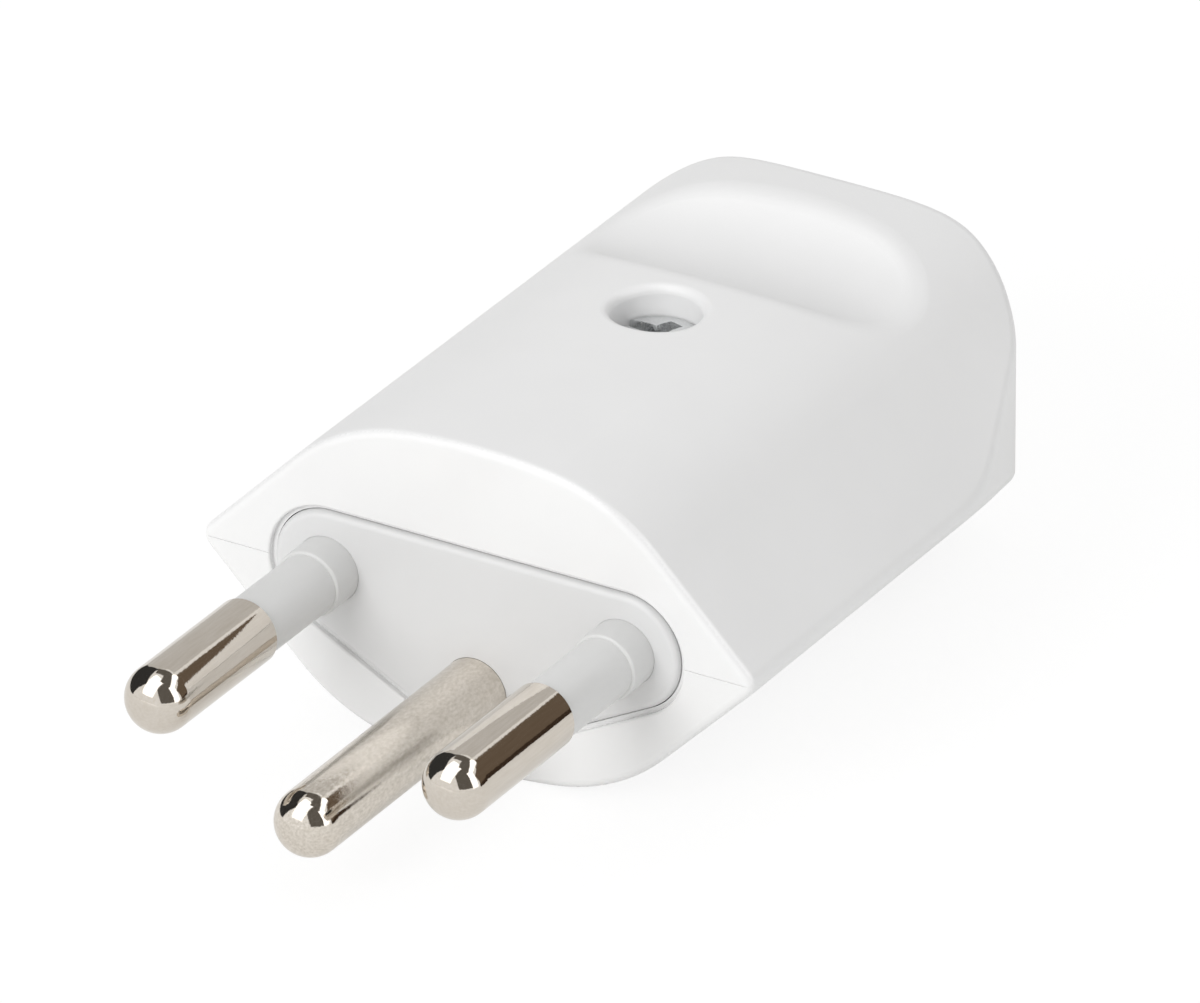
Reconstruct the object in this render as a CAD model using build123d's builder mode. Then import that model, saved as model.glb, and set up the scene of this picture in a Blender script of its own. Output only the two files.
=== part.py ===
import os
from math import sqrt

from build123d import *

# Three-pin plug with a two-part housing that opens for wiring.
# Sizes are in millimetres. The origin is the middle of the line through the two
# outer pins, on the plug's face. The pins point towards -Y, the cord enters from
# +Y, and the housing parts along the XY plane.

# Pin pattern
pin_pitch = 19.0
earth_drop = 5.0
pin_length = 19.0
pin_diameter = 4.0
pin_tip_radius = 1.85
pin_clearance = 0.015

# Insulating sleeves of the outer pins
sleeve_reach = 8.4
sleeve_diameter = 3.65
sleeve_root = 2.0
collar_reach = 2.1
collar_diameter = 4.0
collar_edge_radius = 0.15
neck_diameter = 2.8
moulded_clearance = 0.02

# Root of the earth pin inside the carrier
earth_root_diameter = 4.8
earth_root_setback = 0.15

# Terminal heads at the inner ends of the pins
head_diameter = 6.0
head_length = 9.0
earth_head_length = 7.0
head_chamfer = 0.3
wire_bore_diameter = 3.0
wire_bore_depth = 6.2
terminal_screw_diameter = 3.0
terminal_screw_setback = 3.0
terminal_screw_rise = 1.0
terminal_slot_width = 0.6
terminal_slot_depth = 0.8
screw_chamfer = 0.3

# Wire guards, the leaves between the terminal screws and the wires
guard_thickness = 0.35
guard_width = 1.9
guard_length = 5.8
guard_height = 0.65
guard_tab_top = 2.6
guard_gap = 0.05
guard_bend_radius = 0.3

# Pin carrier in its window
carrier_radius = 3.5
carrier_clearance = 0.05
carrier_edge_radius = 0.4
window_ledge_width = 0.25
window_ledge_depth = 0.4
window_rounding = 0.15
flange_overlap = 1.1
flange_earth_overlap = 0.5
flange_thickness = 2.0
flange_clearance = 0.1
barrier_thickness = 1.0
barrier_setback = 0.6
barrier_rise = 0.4
barrier_drop = 1.2

# Walls
wall = 1.9
front_wall = 2.2
rear_wall = 2.4
wall_bite = 0.4
flank_skin = 1.35
floor_skin = 1.0
seam_width = 0.06
seam_depth = 0.06
base_flat_depth = 0.2

# Outer form of the housing: cross-section
side_band = 0.4
crown_radius = 35.0
shoulder_radius = 12.0
rim_radius = 0.9
front_edge_radius = 0.5

# Outer form of the housing: plan
wiring_length = 26.65
taper_length = 14.3
taper_inset = 5.35
taper_blend_radius = 14.0
rear_corner_radius = 8.0
rear_rounding = 3.0
rear_rounding_rise = 0.3

# Finger grooves across the top and the underside
groove_setback = 10.3
groove_depth = 2.4
groove_radius = 7.5
groove_lip_radius = 2.2

# Bulkhead behind the carrier flange, and stop ribs behind the pin heads
bulkhead_thickness = 1.2
bulkhead_head_room = 0.9
stop_rib_gap = 0.5
stop_rib_thickness = 1.2
stop_rib_margin = 0.2
wire_notch_margin = 0.2

# Housing screw, its well and its nut
screw_lead = 10.1
well_diameter = 5.2
well_depth = 4.0
well_rounding = 0.5
screw_head_diameter = 5.0
screw_head_height = 2.5
screw_head_dome = 0.35
screw_diameter = 3.0
screw_hole_clearance = 0.2
screw_tip_reach = 0.9
screw_tip_room = 0.3
recess_slot_width = 0.8
recess_slot_depth = 0.9
recess_cross_span = 3.3
recess_cross_width = 1.0
recess_cross_depth = 1.4
recess_taper = 12.0
recess_turn = -14.0
boss_wall = 0.8
boss_gap = 0.05
nut_side = 5.5
nut_thickness = 2.2
nut_clearance = 0.1
nut_ledge = 4.2
nut_corner_chamfer = 0.3
thread_clearance = 0.03

# Cord inlet and cord clamp
inlet_diameter = 8.2
inlet_flare = 0.5
inlet_collar_wall = 1.5
inlet_collar_length = 2.0
cord_channel_radius = 3.3
clamp_width = 5.4
clamp_arch_thickness = 1.8
clamp_blend_radius = 1.0
clamp_ear_bottom = 0.5
clamp_ear_thickness = 2.0
clamp_corner_radius = 2.0
clamp_tooth_depth = 0.5
clamp_tooth_width = 0.9
clamp_tooth_spacing = 2.6
clamp_screw_diameter = 2.6
clamp_screw_head_diameter = 4.6
clamp_screw_head_height = 1.7
clamp_screw_head_room = 0.5
clamp_head_rounding = 0.6
clamp_screw_length = 6.0
clamp_screw_slot = 0.7
clamp_boss_wall = 1.2
saddle_rib_thickness = 1.2
saddle_rib_spacing = 3.8
saddle_top = 0.3

# Features that line the two shells up
tongue_length = 13.0
tongue_lead = 1.1
tongue_width = 0.8
tongue_height = 1.0
tongue_clearance = 0.1
peg_inset = 2.7
peg_setback = 5.3
post_diameter = 3.8
peg_diameter = 2.0
peg_height = 1.8
peg_clearance = 0.1
peg_chamfer = 0.3

# Smallest difference that tells two faces apart
tolerance = 0.001

# Carrier, flange and pin heads
half_pitch = pin_pitch / 2
window_radius = carrier_radius + carrier_clearance
flange_side_radius = carrier_radius + flange_overlap
flange_earth_radius = carrier_radius + flange_earth_overlap
flange_front = front_wall + flange_clearance / 2
flange_rear = flange_front + flange_thickness
barrier_rear = flange_rear + head_length - barrier_setback
barrier_top = head_diameter / 2 + barrier_rise
barrier_bottom = -earth_drop - barrier_drop
head_rear = flange_rear + head_length
earth_head_rear = flange_rear + earth_head_length
guard_top = guard_height + guard_thickness

# The housing is as long as the pin heads and the wiring behind them need
body_length = head_rear + wiring_length

# The flanks clear the flange beside the outer pins, and the floor clears it under the earth pin
flank_reach = half_pitch + (flange_side_radius + flange_clearance + flank_skin) * sqrt(2)
half_height = earth_drop + flange_earth_radius + flange_clearance + floor_skin
side_half_width = flank_reach - side_band
rear_half_width = side_half_width - taper_inset
taper_start = body_length - taper_length
groove_centre = body_length - groove_setback
groove_axis_height = half_height - groove_depth + groove_radius
rounding_half_depth = half_height + rear_rounding_rise
inner_reach = flank_reach - wall * sqrt(2)

# Ribs and bosses inside the shells
bulkhead_front = flange_rear + flange_clearance / 2
bulkhead_window_radius = head_diameter / 2 + bulkhead_head_room
stop_rib_front = head_rear + stop_rib_gap
earth_rib_front = earth_head_rear + stop_rib_gap
stop_rib_width = head_diameter + 2 * stop_rib_margin
wire_notch_radius = wire_bore_diameter / 2 + wire_notch_margin
boss_diameter = nut_side * sqrt(2) + 2 * boss_wall
tongue_middle = taper_start - tongue_lead - tongue_length / 2
peg_offset = rear_half_width - peg_inset
peg_y = body_length - peg_setback
post_places = [(-peg_offset, peg_y), (peg_offset, peg_y)]

# Housing screw and nut
screw_y = groove_centre - screw_lead
screw_seat_height = half_height - well_depth
nut_bottom = -nut_ledge - nut_thickness
screw_tip = nut_bottom - screw_tip_reach

# Cord clamp, its screws and the inlet
clamp_y = groove_centre
clamp_front = clamp_y - clamp_width / 2
clamp_ear_top = clamp_ear_bottom + clamp_ear_thickness
clamp_screw_x = (
    cord_channel_radius + clamp_arch_thickness + clamp_screw_head_room + clamp_screw_head_diameter / 2
)
clamp_boss_radius = clamp_screw_diameter / 2 + clamp_boss_wall
clamp_ear_reach = clamp_screw_x + clamp_boss_radius
clamp_screw_tip = clamp_ear_top - clamp_screw_length
clamp_places = [(-clamp_screw_x, clamp_y), (clamp_screw_x, clamp_y)]
saddle_half_width = clamp_screw_x - clamp_boss_radius + wall_bite
inlet_front = body_length - rear_wall - inlet_collar_length

os.makedirs("parts", exist_ok=True)


def finish(piece, label):
    """Name a piece and write it."""
    piece.part.label = label
    export_step(piece.part, f"parts/{label}.step")


def across(y):
    """Plane square to the pins, at a distance y behind the carrier's face."""
    return Plane.XZ.offset(-y)


def has_radius(face, radius):
    """Whether a round face has the given radius."""
    return face.radius is not None and abs(face.radius - radius) < tolerance


def pin_hull(side_radius, earth_radius):
    """Rounded three-cornered outline around the three pins."""
    with BuildSketch() as outline:
        with Locations((-half_pitch, 0), (half_pitch, 0)):
            Circle(side_radius)
        with Locations((0, -earth_drop)):
            Circle(earth_radius)
        make_hull()
    return outline.sketch


def section_outline(inset):
    """Eye-shaped cross-section: sloping flanks under low crowns."""
    with BuildSketch() as outline:
        Rectangle(flank_reach * sqrt(2), flank_reach * sqrt(2), rotation=45)
        with Locations((0, half_height - crown_radius)):
            Circle(crown_radius, mode=Mode.INTERSECT)
        with Locations((0, crown_radius - half_height)):
            Circle(crown_radius, mode=Mode.INTERSECT)
        shoulders = outline.vertices().filter_by(lambda corner: abs(corner.Y) > side_band)
        fillet(shoulders, shoulder_radius)
        if inset > 0:
            offset(amount=-inset, kind=Kind.INTERSECTION)
    return outline.sketch


def plan_outline(inset):
    """Outline seen from above: straight sides, a taper and a rounded rear end."""
    lead = body_length / 4
    with BuildSketch() as outline:
        with BuildLine():
            Polyline(
                (side_half_width, -lead),
                (side_half_width, taper_start),
                (rear_half_width, body_length),
                (-rear_half_width, body_length),
                (-side_half_width, taper_start),
                (-side_half_width, -lead),
                close=True,
            )
        make_face()
        fillet(outline.vertices().group_by(Axis.Y)[-1], rear_corner_radius)
        taper_corners = outline.vertices().filter_by(lambda corner: abs(corner.Y - taper_start) < side_band)
        fillet(taper_corners, taper_blend_radius)
        if inset > 0:
            offset(amount=-inset, kind=Kind.INTERSECTION)
    return outline.sketch


def groove_pair(radius):
    """Round profiles of the finger grooves above and below the housing."""
    with BuildSketch() as profile:
        with Locations((groove_centre, groove_axis_height), (groove_centre, -groove_axis_height)):
            Circle(radius)
    return profile.sketch


def inner_space(inset):
    """Space between the front and rear walls, at a depth inset under the outer form."""
    with BuildPart() as space:
        with BuildSketch(across(front_wall)):
            add(section_outline(inset))
        extrude(amount=-(body_length - rear_wall - front_wall))
        with BuildSketch(Plane.XY):
            add(plan_outline(inset))
        extrude(amount=half_height, both=True, mode=Mode.INTERSECT)
        with BuildSketch(Plane.YZ):
            add(groove_pair(groove_radius + inset))
        extrude(amount=flank_reach, both=True, mode=Mode.SUBTRACT)
    return space.part


# Outer form of the closed housing
with BuildPart() as outer_form:
    with BuildSketch(Plane.XY.offset(-rounding_half_depth)):
        add(plan_outline(0))
    extrude(amount=2 * rounding_half_depth)
    fillet(outer_form.faces().filter_by(Axis.Z).edges(), rear_rounding)
    with BuildSketch(across(0)):
        add(section_outline(0))
    extrude(amount=-body_length, mode=Mode.INTERSECT)
    # The rim is where the upright walls of the plan meet the flanks, shoulders and crowns
    long_faces = outer_form.faces().filter_by(lambda face: abs(face.normal_at().Y) < tolerance)
    upper_and_lower = long_faces.filter_by(lambda face: abs(face.normal_at().Z) > tolerance)
    walls = outer_form.faces().filter_by(
        lambda face: face not in upper_and_lower and face.center().Y > tolerance
    )
    rim = walls.edges().filter_by(lambda edge: edge in upper_and_lower.edges())
    fillet(rim, rim_radius)
    with BuildSketch(Plane.YZ):
        add(groove_pair(groove_radius))
    extrude(amount=flank_reach, both=True, mode=Mode.SUBTRACT)
    grooves = outer_form.faces().filter_by(GeomType.CYLINDER).filter_by(
        lambda face: has_radius(face, groove_radius) and abs(face.center().Y - groove_centre) < groove_radius
    )
    fillet(grooves.edges(), groove_lip_radius)
    fillet(outer_form.faces().sort_by(Axis.Y)[0].edges(), front_edge_radius)

# Both halves of the housing in one, before they are parted
with BuildPart() as housing:
    add(outer_form.part)
    add(inner_space(wall), mode=Mode.SUBTRACT)
    # Bulkhead that holds the carrier flange from behind
    with BuildSketch(across(bulkhead_front)):
        add(section_outline(wall - wall_bite))
        add(pin_hull(bulkhead_window_radius, bulkhead_window_radius), mode=Mode.SUBTRACT)
    extrude(amount=-bulkhead_thickness)
    # Collar round the cord inlet
    with BuildSketch(across(inlet_front)):
        Circle(inlet_diameter / 2 + inlet_collar_wall)
    extrude(amount=-(inlet_collar_length + wall_bite))
    # Pocket for the carrier flange
    with BuildSketch(across(front_wall)):
        add(pin_hull(flange_side_radius + flange_clearance, flange_earth_radius + flange_clearance))
    extrude(amount=-(bulkhead_front - front_wall), mode=Mode.SUBTRACT)
    # Window for the carrier, with a sunken ledge round it and a rounded edge
    with BuildSketch(across(0)):
        add(pin_hull(window_radius, window_radius))
    extrude(amount=-front_wall, mode=Mode.SUBTRACT)
    with BuildSketch(across(0)):
        add(pin_hull(window_radius + window_ledge_width, window_radius + window_ledge_width))
    extrude(amount=-window_ledge_depth, mode=Mode.SUBTRACT)
    fillet(housing.faces().sort_by(Axis.Y)[0].inner_wires()[0].edges(), window_rounding)
    # Cord inlet with a flared mouth
    with BuildSketch(across(inlet_front)):
        Circle(inlet_diameter / 2)
    extrude(amount=-(inlet_collar_length + rear_wall), mode=Mode.SUBTRACT)
    inlet_bore = housing.faces().filter_by(GeomType.CYLINDER).filter_by(
        lambda face: has_radius(face, inlet_diameter / 2)
    )
    fillet(inlet_bore.edges().group_by(Axis.Y)[-1], inlet_flare)
    # Fine groove along the joint of the two shells
    with BuildSketch(Plane.XY):
        add(plan_outline(0))
        add(plan_outline(seam_depth), mode=Mode.SUBTRACT)
        Rectangle(2 * flank_reach, 2 * seam_depth)
    extrude(amount=seam_width / 2, both=True, mode=Mode.SUBTRACT)
    # Narrow flat that the plug rests on
    with BuildSketch(Plane.XY.offset(base_flat_depth - half_height)):
        Rectangle(4 * flank_reach, 4 * body_length)
    extrude(amount=-half_height, mode=Mode.SUBTRACT)

# Bosses and ribs of the upper shell
with BuildPart() as upper_ribs:
    with BuildSketch(Plane.XY.offset(boss_gap)):
        with Locations((0, screw_y)):
            Circle(boss_diameter / 2)
        with Locations(*post_places):
            Circle(post_diameter / 2)
    extrude(amount=half_height)
    # Stop ribs over the heads of the outer pins
    with BuildSketch(across(stop_rib_front)):
        with Locations((-half_pitch, half_height / 2), (half_pitch, half_height / 2)):
            Rectangle(stop_rib_width, half_height)
        with Locations((-half_pitch, 0), (half_pitch, 0)):
            Circle(wire_notch_radius, mode=Mode.SUBTRACT)
    extrude(amount=-stop_rib_thickness)
    add(inner_space(wall - wall_bite), mode=Mode.INTERSECT)

# Upper shell, with the screw well
with BuildPart() as upper_shell:
    add(housing.part)
    split(bisect_by=Plane.XY, keep=Keep.TOP)
    add(upper_ribs.part)
    # Well for the screw head and hole for its shank
    with BuildSketch(Plane.XY.offset(screw_seat_height)):
        with Locations((0, screw_y)):
            Circle(well_diameter / 2)
    extrude(amount=half_height, mode=Mode.SUBTRACT)
    with BuildSketch(Plane.XY):
        with Locations((0, screw_y)):
            Circle(screw_diameter / 2 + screw_hole_clearance)
    extrude(amount=half_height, mode=Mode.SUBTRACT)
    well = upper_shell.faces().filter_by(GeomType.CYLINDER).filter_by(
        lambda face: has_radius(face, well_diameter / 2)
    )
    fillet(well.edges().group_by(Axis.Z)[-1], well_rounding)
    # Sockets for the pegs of the lower shell
    with BuildSketch(Plane.XY):
        with Locations(*post_places):
            Circle(peg_diameter / 2 + peg_clearance)
    extrude(amount=peg_height + peg_clearance, mode=Mode.SUBTRACT)
    # Room for the tongues of the lower shell
    with BuildSketch(Plane.XY):
        with Locations((-inner_reach, tongue_middle), (inner_reach, tongue_middle)):
            Rectangle(2 * (tongue_width + tongue_clearance), tongue_length + 2 * tongue_clearance)
    extrude(amount=tongue_height + tongue_clearance, mode=Mode.SUBTRACT)
finish(upper_shell, "upper_shell")

# Bosses and ribs of the lower shell
with BuildPart() as lower_ribs:
    with BuildSketch(Plane.XY.offset(-boss_gap)):
        with Locations((0, screw_y)):
            Circle(boss_diameter / 2)
        with Locations(*post_places):
            Circle(post_diameter / 2)
    extrude(amount=-half_height)
    with BuildSketch(Plane.XY.offset(clamp_ear_bottom)):
        with Locations(*clamp_places):
            Circle(clamp_boss_radius)
    extrude(amount=-half_height)
    # Saddle ribs under the cord
    for rib_y in (clamp_y - saddle_rib_spacing / 2, clamp_y + saddle_rib_spacing / 2):
        with BuildSketch(across(rib_y - saddle_rib_thickness / 2)):
            with Locations((0, saddle_top - half_height / 2)):
                Rectangle(2 * saddle_half_width, half_height)
            Circle(cord_channel_radius, mode=Mode.SUBTRACT)
        extrude(amount=-saddle_rib_thickness)
    # Stop ribs under the heads of the outer pins
    with BuildSketch(across(stop_rib_front)):
        with Locations((-half_pitch, -half_height / 2), (half_pitch, -half_height / 2)):
            Rectangle(stop_rib_width, half_height)
        with Locations((-half_pitch, 0), (half_pitch, 0)):
            Circle(wire_notch_radius, mode=Mode.SUBTRACT)
    extrude(amount=-stop_rib_thickness)
    # Stop rib behind the head of the earth pin
    with BuildSketch(across(earth_rib_front)):
        with Locations((0, -earth_drop - half_height / 2)):
            Rectangle(stop_rib_width, half_height)
        with Locations((0, -earth_drop)):
            Circle(wire_notch_radius, mode=Mode.SUBTRACT)
    extrude(amount=-stop_rib_thickness)
    add(inner_space(wall - wall_bite), mode=Mode.INTERSECT)

# Lower shell, with the nut slot and the cord saddle
with BuildPart() as lower_shell:
    add(housing.part)
    split(bisect_by=Plane.XY, keep=Keep.BOTTOM)
    add(lower_ribs.part)
    # Hole for the housing screw
    with BuildSketch(Plane.XY):
        with Locations((0, screw_y)):
            Circle(screw_diameter / 2 + screw_hole_clearance)
    extrude(amount=screw_tip - screw_tip_room, mode=Mode.SUBTRACT)
    # Slot that takes the nut from the front
    with BuildSketch(Plane.XY.offset(nut_bottom - nut_clearance)):
        with Locations((0, screw_y + nut_side / 2 + nut_clearance)):
            Rectangle(nut_side + 2 * nut_clearance, boss_diameter, align=(Align.CENTER, Align.MAX))
    extrude(amount=nut_thickness + 2 * nut_clearance, mode=Mode.SUBTRACT)
    # Pilot holes for the clamp screws
    with BuildSketch(Plane.XY.offset(clamp_ear_bottom)):
        with Locations(*clamp_places):
            Circle(clamp_screw_diameter / 2 + thread_clearance)
    extrude(amount=clamp_screw_tip - clamp_ear_bottom - screw_tip_room, mode=Mode.SUBTRACT)
    # Pegs
    with BuildSketch(Plane.XY.offset(-boss_gap - wall_bite)):
        with Locations(*post_places):
            Circle(peg_diameter / 2)
    extrude(amount=peg_height + boss_gap + wall_bite)
    peg_tips = lower_shell.faces().filter_by(Axis.Z).filter_by(
        lambda face: abs(face.center().Z - peg_height) < tolerance
    )
    chamfer(peg_tips.edges(), peg_chamfer)
    # Tongues along the inner edges of the side walls
    with BuildSketch(Plane.XY.offset(-tongue_height / 2)):
        for side in (-1, 1):
            with Locations((side * (inner_reach + tongue_width / 2), tongue_middle)):
                Rectangle(tongue_width, tongue_length)
    extrude(amount=1.5 * tongue_height)
finish(lower_shell, "lower_shell")

# Pin carrier: face plate, flange and the walls between the terminal heads
with BuildPart() as pin_carrier:
    with BuildSketch(across(0)):
        add(pin_hull(carrier_radius, carrier_radius))
    extrude(amount=-flange_rear)
    fillet(pin_carrier.faces().sort_by(Axis.Y)[0].edges(), carrier_edge_radius)
    with BuildSketch(across(flange_front)):
        add(pin_hull(flange_side_radius, flange_earth_radius))
    extrude(amount=-flange_thickness)
    with BuildSketch(across(flange_front)):
        for side in (-1, 1):
            with Locations((side * half_pitch / 2, barrier_bottom)):
                Rectangle(barrier_thickness, barrier_top - barrier_bottom, align=(Align.CENTER, Align.MIN))
    extrude(amount=-(barrier_rear - flange_front))
    with BuildSketch(across(0)):
        with Locations((-half_pitch, 0), (half_pitch, 0), (0, -earth_drop)):
            Circle(pin_diameter / 2 + pin_clearance)
    extrude(amount=-flange_rear, mode=Mode.SUBTRACT)
    with BuildSketch(across(earth_root_setback)):
        with Locations((0, -earth_drop)):
            Circle(earth_root_diameter / 2 + pin_clearance)
    extrude(amount=-flange_rear, mode=Mode.SUBTRACT)
finish(pin_carrier, "pin_carrier")


def pin_axis(x, z):
    """Middle line of a pin."""
    return Axis((x, 0, z), (0, 1, 0))


def pin_plane(x, z):
    """Plane through the middle line of a pin, with the radius along X."""
    return Plane(origin=(x, 0, z), x_dir=(1, 0, 0), z_dir=(0, 0, 1))


def pin_profile(neck_radius, rear):
    """Half profile of a pin from its rounded tip to the rear of its terminal head."""
    with BuildSketch() as profile:
        with BuildLine():
            Polyline(
                (0, -pin_length),
                (pin_diameter / 2, -pin_length),
                (pin_diameter / 2, -sleeve_reach),
                (neck_radius, -sleeve_reach),
                (neck_radius, sleeve_root),
                (pin_diameter / 2, sleeve_root),
                (pin_diameter / 2, flange_rear),
                (head_diameter / 2, flange_rear),
                (head_diameter / 2, rear),
                (0, rear),
                close=True,
            )
        make_face()
        tip_corner = profile.vertices().group_by(Axis.Y)[0].sort_by(Axis.X)[-1]
        fillet(tip_corner, pin_tip_radius)
        head_corners = profile.vertices().group_by(Axis.X)[-1]
        chamfer(head_corners, head_chamfer)
    return profile.sketch


def bare_pin_profile(rear):
    """Half profile of a pin that carries no sleeve."""
    with BuildSketch() as profile:
        with BuildLine():
            Polyline(
                (0, -pin_length),
                (pin_diameter / 2, -pin_length),
                (pin_diameter / 2, earth_root_setback),
                (earth_root_diameter / 2, earth_root_setback),
                (earth_root_diameter / 2, flange_rear),
                (head_diameter / 2, flange_rear),
                (head_diameter / 2, rear),
                (0, rear),
                close=True,
            )
        make_face()
        tip_corner = profile.vertices().group_by(Axis.Y)[0].sort_by(Axis.X)[-1]
        fillet(tip_corner, pin_tip_radius)
        head_corners = profile.vertices().group_by(Axis.X)[-1]
        chamfer(head_corners, head_chamfer)
    return profile.sketch


def wire_bore(x, z, rear):
    """Bore for the wire and threaded hole for the terminal screw."""
    with BuildPart() as bore:
        with BuildSketch(across(rear)):
            with Locations((x, z)):
                Circle(wire_bore_diameter / 2)
        extrude(amount=wire_bore_depth)
        with BuildSketch(Plane.XY.offset(z)):
            with Locations((x, rear - terminal_screw_setback)):
                Circle(terminal_screw_diameter / 2 + thread_clearance)
        extrude(amount=head_diameter)
    return bore.part


def terminal_screw_solid(x, z, rear):
    """Slotted set screw that presses on the wire guard."""
    top = head_diameter / 2 + terminal_screw_rise
    with BuildPart() as screw:
        with BuildSketch(Plane.XY.offset(z + guard_top)):
            with Locations((x, rear - terminal_screw_setback)):
                Circle(terminal_screw_diameter / 2)
        extrude(amount=top - guard_top)
        chamfer(screw.edges().filter_by(GeomType.CIRCLE), screw_chamfer)
        with BuildSketch(Plane.XY.offset(z + top)):
            with Locations((x, rear - terminal_screw_setback)):
                Rectangle(terminal_screw_diameter, terminal_slot_width)
        extrude(amount=-terminal_slot_depth, mode=Mode.SUBTRACT)
    return screw.part


def guard_solid(x, z, rear):
    """Thin leaf along the top of the wire bore, bent up behind the terminal head."""
    tab_front = rear + guard_gap
    with BuildPart() as guard:
        with BuildSketch(Plane.YZ.offset(x - guard_width / 2)):
            with Locations((tab_front + guard_thickness, z + guard_height)):
                Rectangle(guard_length, guard_thickness, align=(Align.MAX, Align.MIN))
                Rectangle(guard_thickness, guard_tab_top - guard_height, align=(Align.MAX, Align.MIN))
        extrude(amount=guard_width)
        bend = guard.edges().filter_by(Axis.X).group_by(Axis.Y)[-1].sort_by(Axis.Z)[0]
        fillet(bend, guard_bend_radius)
    return guard.part


# Left pin
with BuildPart() as left_pin:
    with BuildSketch(pin_plane(-half_pitch, 0)):
        add(pin_profile(neck_diameter / 2, head_rear))
    revolve(axis=pin_axis(-half_pitch, 0))
    add(wire_bore(-half_pitch, 0, head_rear), mode=Mode.SUBTRACT)
finish(left_pin, "left_pin")

# Right pin
with BuildPart() as right_pin:
    with BuildSketch(pin_plane(half_pitch, 0)):
        add(pin_profile(neck_diameter / 2, head_rear))
    revolve(axis=pin_axis(half_pitch, 0))
    add(wire_bore(half_pitch, 0, head_rear), mode=Mode.SUBTRACT)
finish(right_pin, "right_pin")

# Earth pin
with BuildPart() as earth_pin:
    with BuildSketch(pin_plane(0, -earth_drop)):
        add(bare_pin_profile(earth_head_rear))
    revolve(axis=pin_axis(0, -earth_drop))
    add(wire_bore(0, -earth_drop, earth_head_rear), mode=Mode.SUBTRACT)
finish(earth_pin, "earth_pin")


def sleeve_profile():
    """Half profile of an insulating sleeve with the collar at its root."""
    bore_radius = neck_diameter / 2 + moulded_clearance
    with BuildSketch() as profile:
        with BuildLine():
            Polyline(
                (bore_radius, -sleeve_reach),
                (sleeve_diameter / 2, -sleeve_reach),
                (sleeve_diameter / 2, -collar_reach),
                (collar_diameter / 2, -collar_reach),
                (collar_diameter / 2, sleeve_root),
                (bore_radius, sleeve_root),
                close=True,
            )
        make_face()
        collar_corner = profile.vertices().filter_by(
            lambda corner: abs(corner.X - collar_diameter / 2) < tolerance and corner.Y < -tolerance
        )
        fillet(collar_corner, collar_edge_radius)
    return profile.sketch


# Left sleeve
with BuildPart() as left_sleeve:
    with BuildSketch(pin_plane(-half_pitch, 0)):
        add(sleeve_profile())
    revolve(axis=pin_axis(-half_pitch, 0))
finish(left_sleeve, "left_sleeve")

# Right sleeve
with BuildPart() as right_sleeve:
    with BuildSketch(pin_plane(half_pitch, 0)):
        add(sleeve_profile())
    revolve(axis=pin_axis(half_pitch, 0))
finish(right_sleeve, "right_sleeve")

# Terminal screws
with BuildPart() as left_terminal_screw:
    add(terminal_screw_solid(-half_pitch, 0, head_rear))
finish(left_terminal_screw, "left_terminal_screw")

with BuildPart() as right_terminal_screw:
    add(terminal_screw_solid(half_pitch, 0, head_rear))
finish(right_terminal_screw, "right_terminal_screw")

with BuildPart() as earth_terminal_screw:
    add(terminal_screw_solid(0, -earth_drop, earth_head_rear))
finish(earth_terminal_screw, "earth_terminal_screw")

# Wire guards
with BuildPart() as left_wire_guard:
    add(guard_solid(-half_pitch, 0, head_rear))
finish(left_wire_guard, "left_wire_guard")

with BuildPart() as right_wire_guard:
    add(guard_solid(half_pitch, 0, head_rear))
finish(right_wire_guard, "right_wire_guard")

with BuildPart() as earth_wire_guard:
    add(guard_solid(0, -earth_drop, earth_head_rear))
finish(earth_wire_guard, "earth_wire_guard")

# Housing screw, its head slotted and crossed
with BuildPart() as housing_screw:
    with BuildSketch(Plane.XZ.offset(-screw_y)):
        with BuildLine():
            Polyline(
                (0, screw_seat_height + screw_head_height),
                (0, screw_tip),
                (screw_diameter / 2 - screw_chamfer, screw_tip),
                (screw_diameter / 2, screw_tip + screw_chamfer),
                (screw_diameter / 2, screw_seat_height),
                (screw_head_diameter / 2, screw_seat_height),
                (screw_head_diameter / 2, screw_seat_height + screw_head_height - screw_head_dome),
            )
            ThreePointArc(
                (screw_head_diameter / 2, screw_seat_height + screw_head_height - screw_head_dome),
                (screw_head_diameter / 4, screw_seat_height + screw_head_height - screw_head_dome / 4),
                (0, screw_seat_height + screw_head_height),
            )
        make_face()
    revolve(axis=Axis((0, screw_y, 0), (0, 0, 1)))
    with BuildSketch(Plane.XY.offset(screw_seat_height + screw_head_height)):
        with Locations((0, screw_y)):
            Rectangle(screw_head_diameter, recess_slot_width, rotation=recess_turn)
    extrude(amount=-recess_slot_depth, mode=Mode.SUBTRACT)
    with BuildSketch(Plane.XY.offset(screw_seat_height + screw_head_height)):
        with Locations((0, screw_y)):
            Rectangle(recess_cross_span, recess_cross_width, rotation=recess_turn)
            Rectangle(recess_cross_width, recess_cross_span, rotation=recess_turn)
    extrude(amount=-recess_cross_depth, taper=recess_taper, mode=Mode.SUBTRACT)
finish(housing_screw, "housing_screw")

# Housing nut
with BuildPart() as housing_nut:
    with BuildSketch(Plane.XY.offset(nut_bottom)) as nut_outline:
        with Locations((0, screw_y)):
            Rectangle(nut_side, nut_side)
        chamfer(nut_outline.vertices(), nut_corner_chamfer)
        with Locations((0, screw_y)):
            Circle(screw_diameter / 2 + thread_clearance, mode=Mode.SUBTRACT)
    extrude(amount=nut_thickness)
finish(housing_nut, "housing_nut")

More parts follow.
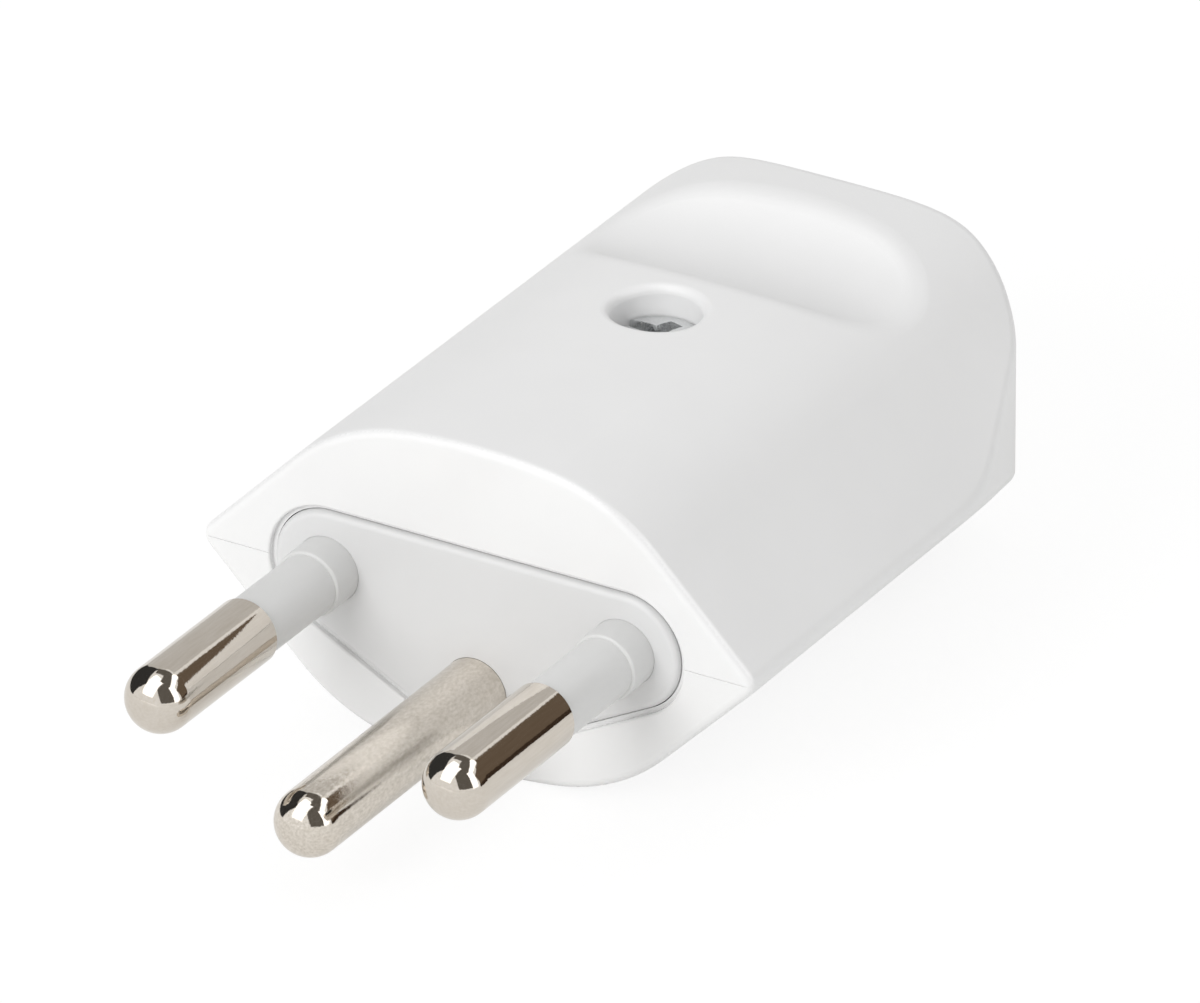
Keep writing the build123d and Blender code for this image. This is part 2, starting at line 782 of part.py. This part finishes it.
# Cord clamp: an arch over the cord with an ear on each side
with BuildPart() as cord_clamp:
    with BuildSketch(across(clamp_front)) as clamp_outline:
        Circle(cord_channel_radius + clamp_arch_thickness)
        with Locations((0, clamp_ear_bottom)):
            Rectangle(2 * clamp_ear_reach, clamp_ear_thickness, align=(Align.CENTER, Align.MIN))
        arch_corners = clamp_outline.vertices().filter_by(
            lambda corner: abs(corner.Y - clamp_ear_top) < tolerance and abs(corner.X) < clamp_screw_x
        )
        fillet(arch_corners, clamp_blend_radius)
        Circle(cord_channel_radius, mode=Mode.SUBTRACT)
        with Locations((0, clamp_ear_bottom)):
            Rectangle(2 * clamp_ear_reach, half_height, align=(Align.CENTER, Align.MAX), mode=Mode.SUBTRACT)
    extrude(amount=-clamp_width)
    fillet(cord_clamp.edges().filter_by(Axis.Z), clamp_corner_radius)
    # Teeth that bite on the cord
    for tooth_y in (clamp_y - clamp_tooth_spacing / 2, clamp_y + clamp_tooth_spacing / 2):
        with BuildSketch(across(tooth_y - clamp_tooth_width / 2)):
            Circle(cord_channel_radius + wall_bite)
            Circle(cord_channel_radius - clamp_tooth_depth, mode=Mode.SUBTRACT)
            with Locations((0, clamp_ear_bottom)):
                Rectangle(
                    2 * clamp_ear_reach, half_height, align=(Align.CENTER, Align.MAX), mode=Mode.SUBTRACT
                )
        extrude(amount=-clamp_tooth_width)
    with BuildSketch(Plane.XY.offset(clamp_ear_bottom)):
        with Locations(*clamp_places):
            Circle(clamp_screw_diameter / 2 + screw_hole_clearance)
    extrude(amount=clamp_ear_thickness, mode=Mode.SUBTRACT)
finish(cord_clamp, "cord_clamp")


def clamp_screw_solid(x):
    """Slotted pan-head screw of the cord clamp."""
    with BuildPart() as screw:
        with BuildSketch(Plane.XY.offset(clamp_ear_top)):
            with Locations((x, clamp_y)):
                Circle(clamp_screw_head_diameter / 2)
        extrude(amount=clamp_screw_head_height)
        fillet(screw.edges().group_by(Axis.Z)[-1], clamp_head_rounding)
        with BuildSketch(Plane.XY.offset(clamp_screw_tip)):
            with Locations((x, clamp_y)):
                Circle(clamp_screw_diameter / 2)
        extrude(amount=clamp_screw_length)
        chamfer(screw.edges().group_by(Axis.Z)[0], screw_chamfer)
        with BuildSketch(Plane.XY.offset(clamp_ear_top + clamp_screw_head_height)):
            with Locations((x, clamp_y)):
                Rectangle(clamp_screw_head_diameter, clamp_screw_slot)
        extrude(amount=-clamp_screw_head_height / 2, mode=Mode.SUBTRACT)
    return screw.part


# Clamp screws
with BuildPart() as left_clamp_screw:
    add(clamp_screw_solid(-clamp_screw_x))
finish(left_clamp_screw, "left_clamp_screw")

with BuildPart() as right_clamp_screw:
    add(clamp_screw_solid(clamp_screw_x))
finish(right_clamp_screw, "right_clamp_screw")
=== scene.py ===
import math

import bmesh
import bpy
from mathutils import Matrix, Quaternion, Vector


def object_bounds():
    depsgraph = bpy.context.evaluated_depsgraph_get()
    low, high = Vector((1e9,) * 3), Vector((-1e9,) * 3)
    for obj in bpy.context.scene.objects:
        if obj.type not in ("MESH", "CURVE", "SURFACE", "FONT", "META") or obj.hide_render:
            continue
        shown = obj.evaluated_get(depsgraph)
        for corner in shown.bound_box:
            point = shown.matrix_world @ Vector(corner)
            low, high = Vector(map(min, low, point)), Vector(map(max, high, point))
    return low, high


bl_info = {
    "name": "Three-Pin Plug Finish",
    "version": (1, 0, 0),
    "blender": (4, 5, 0),
    "location": "3D View > Sidebar > Plug",
    "description": "Finishes the three-pin plug and sets it on a studio floor",
    "category": "Object",
}

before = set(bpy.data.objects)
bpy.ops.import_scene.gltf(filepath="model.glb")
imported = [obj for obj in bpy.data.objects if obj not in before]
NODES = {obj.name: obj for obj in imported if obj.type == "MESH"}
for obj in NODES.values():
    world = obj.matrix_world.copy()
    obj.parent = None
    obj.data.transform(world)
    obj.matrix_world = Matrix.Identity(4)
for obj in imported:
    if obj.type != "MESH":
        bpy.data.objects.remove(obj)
CAD_BOX = [list(corner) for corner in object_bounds()]
MM = 0.001

# Refractive indices of the plastics
ABS_IOR = 1.53
PBT_IOR = 1.56
POLYAMIDE_IOR = 1.53

# Distance over which a moulding's tone drifts, in millimetres
FLOW_MM = 14

# Depths behind the front face between which its polish ends, in metres
POLISH_START = 0.1 * MM
POLISH_END = 0.6 * MM

# Places along a pin between which its polished tip ends, in metres
TIP_START = -17.0 * MM
TIP_END = -15.0 * MM

# Streaks drawn out along the pins or up the screws, and short strokes along a pin
LENGTHWISE = (1.0, 0.08, 1.0)
UPRIGHT = (1.0, 1.0, 0.08)
STROKES = (1.0, 0.5, 1.0)

# Floor: its side, the gap under the plug, its glow, and the share of plain white in it
# that the camera and the metal see, which leaves the rest for the shadow
FLOOR_SIDE = 6.0
FLOOR_GAP = 0.02 * MM
FLOOR_GLOW = 1.05
FLOOR_WHITE_TO_CAMERA = 0.82
FLOOR_WHITE_TO_METAL = 0.25

# Lamp in front of the pins
KEY_PLACE = (-0.10, -0.52, 0.29)
KEY_AIM = (0.0, 0.01, 0.0)
KEY_SIDE = 0.30

# Way from the plug to the camera, and the camera's lean in degrees
CAMERA_WAY = (0.458722, -0.755384, 0.467941)
CAMERA_LEAN = -0.371

# What the metal mirrors, softboxes above and to the right with boards between them:
# name, azimuth, elevation, width, height, distance, colour, strength
CARDS = (
    ("front_softbox", -18, 54, 0.58, 1.12, 0.80, "#FFFFFF", 2.1),
    ("right_strip", 84, 28, 0.27, 0.66, 0.74, "#FFFFFF", 2.1),
    ("rear_strip", 122, 53, 0.66, 0.18, 0.74, "#FFFFFF", 2.1),
    ("black_board", -98, 30, 1.25, 1.02, 0.84, "#3A3A3A", 1.0),
    ("rear_top_board", 180, 66, 0.70, 0.36, 0.84, "#6A6661", 1.0),
    ("brown_board", 140, 18, 1.25, 0.76, 0.84, "#6F6153", 1.0),
    ("brown_skirt", 140, 4, 1.25, 0.13, 0.80, "#3F3228", 1.0),
    ("grey_board", -157, 22, 0.82, 0.94, 0.88, "#D3D2D0", 1.0),
    ("dark_board", 51, 38, 0.86, 1.08, 0.88, "#6A6661", 1.0),
    ("top_board", 100, 73, 0.42, 0.42, 0.86, "#6A6661", 1.0),
)


def linear(hex_colour):
    """Linear RGB of an sRGB hex value."""
    channels = [int(hex_colour[i : i + 2], 16) / 255 for i in (1, 3, 5)]
    return tuple(c / 12.92 if c <= 0.04045 else ((c + 0.055) / 1.055) ** 2.4 for c in channels)


def rgba(colour):
    return (*colour, 1.0)


def per_mm(size_mm):
    """Texture scale whose features are about size_mm apart on Object coordinates."""
    return 1.0 / (size_mm * MM)


def add_node(material, kind, settings=None, inputs=None):
    """A node with its settings, and each input set to a value or linked to a socket."""
    tree = material.node_tree
    node = tree.nodes.new(kind)
    for name, value in (settings or {}).items():
        setattr(node, name, value)
    for name, value in (inputs or {}).items():
        if isinstance(value, bpy.types.NodeSocket):
            tree.links.new(value, node.inputs[name])
        else:
            node.inputs[name].default_value = value
    return node


def new_material(name):
    material = bpy.data.materials.new(name)
    material.use_nodes = True
    material.node_tree.nodes.clear()
    return material


def set_output(material, shader):
    add_node(material, "ShaderNodeOutputMaterial", inputs={"Surface": shader})


def blend(material, factor, low, high):
    """Colour that goes from low to high with a factor socket."""
    mix = add_node(
        material,
        "ShaderNodeMix",
        {"data_type": "RGBA"},
        {0: factor, 6: rgba(low), 7: rgba(high)},
    )
    return mix.outputs[2]


def span(material, value, low, high, start=0.0, end=1.0):
    """Number that goes from low to high while value goes from start to end."""
    node = add_node(
        material,
        "ShaderNodeMapRange",
        {"clamp": True},
        {"Value": value, "From Min": start, "From Max": end, "To Min": low, "To Max": high},
    )
    return node.outputs["Result"]


def moulded_plastic(
    name, light, shade, roughness, grain_mm, grain_depth_mm, ior, face_share=1.0
):
    """Injection-moulded plastic: a faint drift of tone where the melt flowed, and the
    fine grain that a spark-eroded mould leaves, which spreads the highlights. The front
    face comes from a polished insert of the mould, with face_share of that roughness."""
    material = new_material(name)
    place = add_node(material, "ShaderNodeTexCoord").outputs["Object"]
    flow = add_node(
        material,
        "ShaderNodeTexNoise",
        inputs={"Vector": place, "Scale": per_mm(FLOW_MM), "Detail": 3.0, "Roughness": 0.55},
    ).outputs["Fac"]
    grain = add_node(
        material,
        "ShaderNodeTexNoise",
        inputs={"Vector": place, "Scale": per_mm(grain_mm), "Detail": 2.0, "Roughness": 0.6},
    ).outputs["Fac"]
    bump = add_node(
        material,
        "ShaderNodeBump",
        inputs={"Height": grain, "Strength": 1.0, "Distance": grain_depth_mm * MM},
    ).outputs["Normal"]
    depth = add_node(material, "ShaderNodeSeparateXYZ", inputs={"Vector": place}).outputs["Y"]
    dulled = add_node(
        material,
        "ShaderNodeMath",
        {"operation": "MULTIPLY"},
        {
            0: span(material, grain, roughness - 0.05, roughness + 0.05, 0.3, 0.7),
            1: span(material, depth, face_share, 1.0, POLISH_START, POLISH_END),
        },
    ).outputs["Value"]
    shader = add_node(
        material,
        "ShaderNodeBsdfPrincipled",
        inputs={
            "Base Color": blend(
                material, span(material, flow, 0.0, 1.0, 0.35, 0.65), shade, light
            ),
            "Roughness": dulled,
            "IOR": ior,
            "Normal": bump,
        },
    )
    set_output(material, shader.outputs["BSDF"])
    return material


def plated_metal(
    name,
    light,
    shade,
    roughness,
    wave_mm,
    wave_depth_mm,
    streak_mm,
    streak_span,
    streak_share=0.35,
    tip_share=1.0,
):
    """Plated turned metal: a bright skin over the faint waves and streaks of the bar,
    which break up the edges of what it mirrors. A pin's round tip is polished down to
    tip_share of the roughness of its shank."""
    material = new_material(name)
    place = add_node(material, "ShaderNodeTexCoord").outputs["Object"]
    along = add_node(
        material, "ShaderNodeMapping", inputs={"Vector": place, "Scale": streak_span}
    ).outputs["Vector"]
    streak = add_node(
        material,
        "ShaderNodeTexNoise",
        inputs={"Vector": along, "Scale": per_mm(streak_mm), "Detail": 4.0, "Roughness": 0.6},
    ).outputs["Fac"]
    wave = add_node(
        material,
        "ShaderNodeTexNoise",
        inputs={"Vector": place, "Scale": per_mm(wave_mm), "Detail": 2.0, "Roughness": 0.5},
    ).outputs["Fac"]
    height = add_node(
        material,
        "ShaderNodeMath",
        {"operation": "MULTIPLY_ADD"},
        {0: streak, 1: streak_share, 2: wave},
    ).outputs["Value"]
    bump = add_node(
        material,
        "ShaderNodeBump",
        inputs={"Height": height, "Strength": 1.0, "Distance": wave_depth_mm * MM},
    ).outputs["Normal"]
    depth = add_node(material, "ShaderNodeSeparateXYZ", inputs={"Vector": place}).outputs["Y"]
    brushed = add_node(
        material,
        "ShaderNodeMath",
        {"operation": "MULTIPLY"},
        {
            0: span(material, streak, roughness * 0.7, roughness * 1.3, 0.3, 0.7),
            1: span(material, depth, tip_share, 1.0, TIP_START, TIP_END),
        },
    ).outputs["Value"]
    shader = add_node(
        material,
        "ShaderNodeBsdfPrincipled",
        inputs={
            "Base Color": blend(
                material, span(material, streak, 0.0, 1.0, 0.3, 0.7), shade, light
            ),
            "Metallic": 1.0,
            "Roughness": brushed,
            "Normal": bump,
        },
    )
    set_output(material, shader.outputs["BSDF"])
    return material


def dress(material, *names):
    """Give CAD nodes a finish, in every slot they have."""
    for name in names:
        slots = NODES[name].material_slots
        if not slots:
            raise RuntimeError(f"{name} has no material slot")
        for slot in slots:
            slot.material = material


class PlugHousingSettings(bpy.types.PropertyGroup):
    shell_colour: bpy.props.FloatVectorProperty(
        name="Shell Colour",
        description="Colour of the two moulded half shells",
        subtype="COLOR",
        size=3,
        min=0.0,
        max=1.0,
        default=linear("#EEEEEE"),
    )
    shell_shade: bpy.props.FloatVectorProperty(
        name="Shell Shade",
        description="Slightly deeper tone where the melt flowed",
        subtype="COLOR",
        size=3,
        min=0.0,
        max=1.0,
        default=linear("#EBEBEB"),
    )
    carrier_colour: bpy.props.FloatVectorProperty(
        name="Carrier Colour",
        description="Colour of the insert that holds the pins",
        subtype="COLOR",
        size=3,
        min=0.0,
        max=1.0,
        default=linear("#DDDDDD"),
    )
    shell_roughness: bpy.props.FloatProperty(
        name="Shell Roughness",
        description="How far the shells spread a highlight",
        subtype="FACTOR",
        min=0.05,
        max=1.0,
        default=0.42,
    )
    grain_spacing: bpy.props.FloatProperty(
        name="Grain Spacing",
        description="Distance between the grains left by the mould, in millimetres",
        min=0.05,
        max=2.0,
        default=0.22,
    )


class PlugMetalSettings(bpy.types.PropertyGroup):
    nickel_colour: bpy.props.FloatVectorProperty(
        name="Nickel Colour",
        description="Colour of the nickel plating on the outer pins",
        subtype="COLOR",
        size=3,
        min=0.0,
        max=1.0,
        default=linear("#D8D1C8"),
    )
    zinc_colour: bpy.props.FloatVectorProperty(
        name="Zinc Colour",
        description="Colour of the zinc plating on the screws",
        subtype="COLOR",
        size=3,
        min=0.0,
        max=1.0,
        default=linear("#E9EAEA"),
    )
    pin_roughness: bpy.props.FloatProperty(
        name="Pin Roughness",
        description="How far the outer pins blur what they mirror",
        subtype="FACTOR",
        min=0.02,
        max=1.0,
        default=0.07,
    )
    earth_roughness: bpy.props.FloatProperty(
        name="Earth Pin Roughness",
        description="How far the earth pin blurs what it mirrors",
        subtype="FACTOR",
        min=0.02,
        max=1.0,
        default=0.17,
    )


class PlugStageSettings(bpy.types.PropertyGroup):
    surround: bpy.props.FloatProperty(
        name="Surround Light",
        description="Strength of the even light from all round",
        min=0.0,
        max=2.0,
        default=0.775,
    )
    key_power: bpy.props.FloatProperty(
        name="Key Power",
        description="Power of the large lamp in front of the plug",
        subtype="POWER",
        unit="POWER",
        min=0.0,
        max=50.0,
        default=1.42,
    )
    lens: bpy.props.FloatProperty(
        name="Lens",
        description="Focal length of the camera in millimetres",
        min=50.0,
        max=1000.0,
        default=466.275,
    )
    camera_place: bpy.props.FloatVectorProperty(
        name="Camera Place",
        description="Where the camera stands",
        subtype="TRANSLATION",
        unit="LENGTH",
        size=3,
        default=(0.395645, -0.638163, 0.404279),
    )


class PLUG_OT_finish_shells(bpy.types.Operator):
    """Give the two half shells their moulded white surface"""

    bl_idname = "plug.finish_shells"
    bl_label = "Finish Shells"

    def execute(self, context):
        housing = context.scene.plug_housing
        # White ABS: bright and neutral, with a soft sheen from the grained mould
        white_abs = moulded_plastic(
            "moulded_white_abs",
            tuple(housing.shell_colour),
            tuple(housing.shell_shade),
            roughness=housing.shell_roughness,
            grain_mm=housing.grain_spacing,
            grain_depth_mm=0.004,
            ior=ABS_IOR,
            face_share=0.55,
        )
        dress(white_abs, "upper_shell", "lower_shell")
        return {"FINISHED"}


class PLUG_OT_finish_carrier(bpy.types.Operator):
    """Give the pin carrier and the pin sleeves their moulded grey surface"""

    bl_idname = "plug.finish_carrier"
    bl_label = "Finish Carrier and Sleeves"

    def execute(self, context):
        housing = context.scene.plug_housing
        # Grey PBT: denser and smoother than the shells, from a polished mould
        grey_pbt = moulded_plastic(
            "moulded_grey_pbt",
            tuple(housing.carrier_colour),
            linear("#DADADA"),
            roughness=0.34,
            grain_mm=0.35,
            grain_depth_mm=0.002,
            ior=PBT_IOR,
        )
        dress(grey_pbt, "pin_carrier")
        # Polyamide moulded round the pins: a satin grey with a slight waxy tone
        grey_polyamide = moulded_plastic(
            "moulded_grey_polyamide",
            linear("#DADAD9"),
            linear("#D6D6D5"),
            roughness=0.38,
            grain_mm=0.3,
            grain_depth_mm=0.002,
            ior=POLYAMIDE_IOR,
        )
        dress(grey_polyamide, "left_sleeve", "right_sleeve")
        return {"FINISHED"}


class PLUG_OT_finish_pins(bpy.types.Operator):
    """Give the three pins their nickel plating"""

    bl_idname = "plug.finish_pins"
    bl_label = "Finish Pins"

    def execute(self, context):
        metal = context.scene.plug_metal
        # Bright nickel on turned brass: warm grey mirror, its reflections slightly ragged
        bright_nickel = plated_metal(
            "bright_nickel_plate",
            tuple(metal.nickel_colour),
            linear("#D0C8BD"),
            roughness=metal.pin_roughness,
            wave_mm=0.3,
            wave_depth_mm=0.0035,
            streak_mm=0.16,
            streak_span=LENGTHWISE,
        )
        dress(bright_nickel, "left_pin", "right_pin")
        # The earth pin is brushed in short strokes before plating, so its shank blurs more.
        # Its colours are painted lighter than the outer pins' nickel, which is the same metal:
        # a painted highlight for the softbox glints on it
        brushed_painted_bright_nickel = plated_metal(
            "brushed_nickel_plate",
            linear("#E6DFD6"),
            linear("#CBC3B7"),
            roughness=metal.earth_roughness,
            wave_mm=0.4,
            wave_depth_mm=0.0025,
            streak_mm=0.16,
            streak_span=STROKES,
            streak_share=1.6,
            tip_share=0.35,
        )
        dress(brushed_painted_bright_nickel, "earth_pin")
        return {"FINISHED"}


class PLUG_OT_finish_fasteners(bpy.types.Operator):
    """Give the screws, the nut, the wire guards and the cord clamp their finish"""

    bl_idname = "plug.finish_fasteners"
    bl_label = "Finish Fasteners"

    def execute(self, context):
        metal = context.scene.plug_metal
        # Bright zinc on headed steel: cooler than the pins, with the driver's burrs on it
        bright_zinc = plated_metal(
            "bright_zinc_plate",
            tuple(metal.zinc_colour),
            linear("#D3D5D6"),
            roughness=0.14,
            wave_mm=0.22,
            wave_depth_mm=0.03,
            streak_mm=0.1,
            streak_span=UPRIGHT,
        )
        dress(
            bright_zinc,
            "housing_screw",
            "housing_nut",
            "left_terminal_screw",
            "right_terminal_screw",
            "earth_terminal_screw",
            "left_clamp_screw",
            "right_clamp_screw",
        )
        # Rolled phosphor bronze: red-gold strip with lines along the rolling direction
        phosphor_bronze = plated_metal(
            "rolled_phosphor_bronze",
            linear("#C79A6B"),
            linear("#B88A5C"),
            roughness=0.28,
            wave_mm=0.3,
            wave_depth_mm=0.001,
            streak_mm=0.08,
            streak_span=LENGTHWISE,
        )
        dress(phosphor_bronze, "left_wire_guard", "right_wire_guard", "earth_wire_guard")
        # Glass-filled polyamide: mid grey and dull, with a coarse grain
        filled_polyamide = moulded_plastic(
            "moulded_filled_polyamide",
            linear("#A9A9A7"),
            linear("#9E9E9C"),
            roughness=0.55,
            grain_mm=0.3,
            grain_depth_mm=0.006,
            ior=POLYAMIDE_IOR,
        )
        dress(filled_polyamide, "cord_clamp")
        return {"FINISHED"}


def lamp(name, place, aim, size, power):
    """Square area lamp that shines on aim, and that nothing shows or mirrors."""
    data = bpy.data.lights.new(name, "AREA")
    data.shape = "SQUARE"
    data.size = size
    data.energy = power
    lamp_object = bpy.data.objects.new(name, data)
    bpy.context.scene.collection.objects.link(lamp_object)
    lamp_object.location = place
    lamp_object.rotation_mode = "QUATERNION"
    lamp_object.rotation_quaternion = (Vector(place) - Vector(aim)).to_track_quat("Z", "Y")
    lamp_object.visible_camera = False
    lamp_object.visible_glossy = False
    return lamp_object


def sheet_object(name, width, depth, material):
    """Flat sheet in the XY plane, centred on the origin."""
    mesh = bpy.data.meshes.new(name)
    shape = bmesh.new()
    bmesh.ops.create_grid(shape, x_segments=1, y_segments=1, size=0.5)
    bmesh.ops.scale(shape, vec=(width, depth, 1.0), verts=shape.verts)
    shape.to_mesh(mesh)
    shape.free()
    mesh.materials.append(material)
    sheet = bpy.data.objects.new(name, mesh)
    bpy.context.scene.collection.objects.link(sheet)
    return sheet


def background_share(material, to_camera, to_mirror):
    """Share of the plain background that the camera, and metal and glass, each see."""
    rays = add_node(material, "ShaderNodeLightPath").outputs
    share = 0.0
    for ray, amount in (
        ("Is Camera Ray", to_camera),
        ("Is Glossy Ray", to_mirror),
        ("Is Transmission Ray", to_mirror),
    ):
        share = add_node(
            material,
            "ShaderNodeMath",
            {"operation": "MULTIPLY_ADD"},
            {0: rays[ray], 1: amount, 2: share},
        ).outputs["Value"]
    return share


def card(name, azimuth, elevation, width, height, distance, colour, strength):
    """Board that faces the plug and shows only in what its surfaces mirror. Azimuth is
    in degrees from straight in front of the pins towards the right, elevation from the
    floor, and the sizes are in metres."""
    board = new_material(name)
    glow = add_node(
        board, "ShaderNodeEmission", inputs={"Color": rgba(colour), "Strength": strength}
    )
    set_output(board, glow.outputs["Emission"])
    sheet = sheet_object(name, width, height, board)
    level = math.cos(math.radians(elevation))
    way = Vector(
        (
            level * math.sin(math.radians(azimuth)),
            -level * math.cos(math.radians(azimuth)),
            math.sin(math.radians(elevation)),
        )
    )
    sheet.rotation_mode = "QUATERNION"
    sheet.rotation_quaternion = way.to_track_quat("Z", "Y")
    sheet.location = way * distance
    sheet.visible_camera = False
    sheet.visible_diffuse = False
    sheet.visible_transmission = False
    sheet.visible_shadow = False


class PLUG_OT_set_stage(bpy.types.Operator):
    """Set the floor, the cards, the lamps, the surround and the camera"""

    bl_idname = "plug.set_stage"
    bl_label = "Set Stage"

    def execute(self, context):
        scene = context.scene
        stage = scene.plug_stage
        floor_height = CAD_BOX[0][2] - FLOOR_GAP
        # Pale floor: white to the camera, and it keeps a soft shadow
        paper = new_material("studio_paper")
        matt = add_node(
            paper, "ShaderNodeBsdfDiffuse", inputs={"Color": rgba(linear("#F7F7F6"))}
        )
        glow = add_node(
            paper,
            "ShaderNodeEmission",
            inputs={"Color": rgba(linear("#FFFFFF")), "Strength": FLOOR_GLOW},
        )
        seen = add_node(
            paper,
            "ShaderNodeMixShader",
            inputs={
                0: background_share(paper, FLOOR_WHITE_TO_CAMERA, FLOOR_WHITE_TO_METAL),
                1: matt.outputs["BSDF"],
                2: glow.outputs["Emission"],
            },
        )
        set_output(paper, seen.outputs["Shader"])
        floor = sheet_object("studio_floor", FLOOR_SIDE, FLOOR_SIDE, paper)
        floor.location = (0.0, 0.0, floor_height)
        for name, azimuth, elevation, width, height, distance, colour, strength in CARDS:
            card(name, azimuth, elevation, width, height, distance, linear(colour), strength)
        key = lamp("key_lamp", KEY_PLACE, KEY_AIM, KEY_SIDE, stage.key_power)
        # Even white surround: pure white as a background, a little less as light
        world = bpy.data.worlds.new("studio_surround")
        world.use_nodes = True
        world.node_tree.nodes.clear()
        strength = add_node(
            world,
            "ShaderNodeMapRange",
            inputs={
                "Value": background_share(world, 1.0, 1.0),
                "To Min": stage.surround,
                "To Max": 1.0,
            },
        )
        light = add_node(
            world,
            "ShaderNodeBackground",
            inputs={"Color": rgba(linear("#FFFFFF")), "Strength": strength.outputs["Result"]},
        )
        surface = {"Surface": light.outputs["Background"]}
        add_node(world, "ShaderNodeOutputWorld", inputs=surface)
        scene.world = world
        # Camera at the photograph's angle
        data = bpy.data.cameras.new("plug_camera")
        data.sensor_fit = "HORIZONTAL"
        data.sensor_width = 36.0
        data.lens = stage.lens
        data.clip_start = 0.01
        data.clip_end = 50.0
        camera = bpy.data.objects.new("plug_camera", data)
        scene.collection.objects.link(camera)
        camera.location = stage.camera_place
        lean = Quaternion((0.0, 0.0, 1.0), math.radians(CAMERA_LEAN))
        camera.rotation_mode = "QUATERNION"
        camera.rotation_quaternion = Vector(CAMERA_WAY).to_track_quat("Z", "Y") @ lean
        scene.camera = camera
        scene.view_settings.view_transform = "Standard"
        return {"FINISHED"}


class PLUG_PT_finish(bpy.types.Panel):
    bl_idname = "PLUG_PT_finish"
    bl_label = "Three-Pin Plug"
    bl_space_type = "VIEW_3D"
    bl_region_type = "UI"
    bl_category = "Plug"

    def draw(self, context):
        layout = self.layout
        scene = context.scene
        for settings, operators in (
            (scene.plug_housing, ("plug.finish_shells", "plug.finish_carrier")),
            (scene.plug_metal, ("plug.finish_pins", "plug.finish_fasteners")),
            (scene.plug_stage, ("plug.set_stage",)),
        ):
            box = layout.box()
            for name in settings.bl_rna.properties.keys():
                if name not in {"rna_type", "name"}:
                    box.prop(settings, name)
            for operator in operators:
                box.operator(operator)


CLASSES = (
    PlugHousingSettings,
    PlugMetalSettings,
    PlugStageSettings,
    PLUG_OT_finish_shells,
    PLUG_OT_finish_carrier,
    PLUG_OT_finish_pins,
    PLUG_OT_finish_fasteners,
    PLUG_OT_set_stage,
    PLUG_PT_finish,
)


def register():
    for cls in CLASSES:
        bpy.utils.register_class(cls)
    bpy.types.Scene.plug_housing = bpy.props.PointerProperty(type=PlugHousingSettings)
    bpy.types.Scene.plug_metal = bpy.props.PointerProperty(type=PlugMetalSettings)
    bpy.types.Scene.plug_stage = bpy.props.PointerProperty(type=PlugStageSettings)


def unregister():
    del bpy.types.Scene.plug_housing
    del bpy.types.Scene.plug_metal
    del bpy.types.Scene.plug_stage
    for cls in reversed(CLASSES):
        bpy.utils.unregister_class(cls)


def main():
    register()
    bpy.ops.plug.finish_shells()
    bpy.ops.plug.finish_carrier()
    bpy.ops.plug.finish_pins()
    bpy.ops.plug.finish_fasteners()
    bpy.ops.plug.set_stage()


if __name__ == "__main__":
    main()
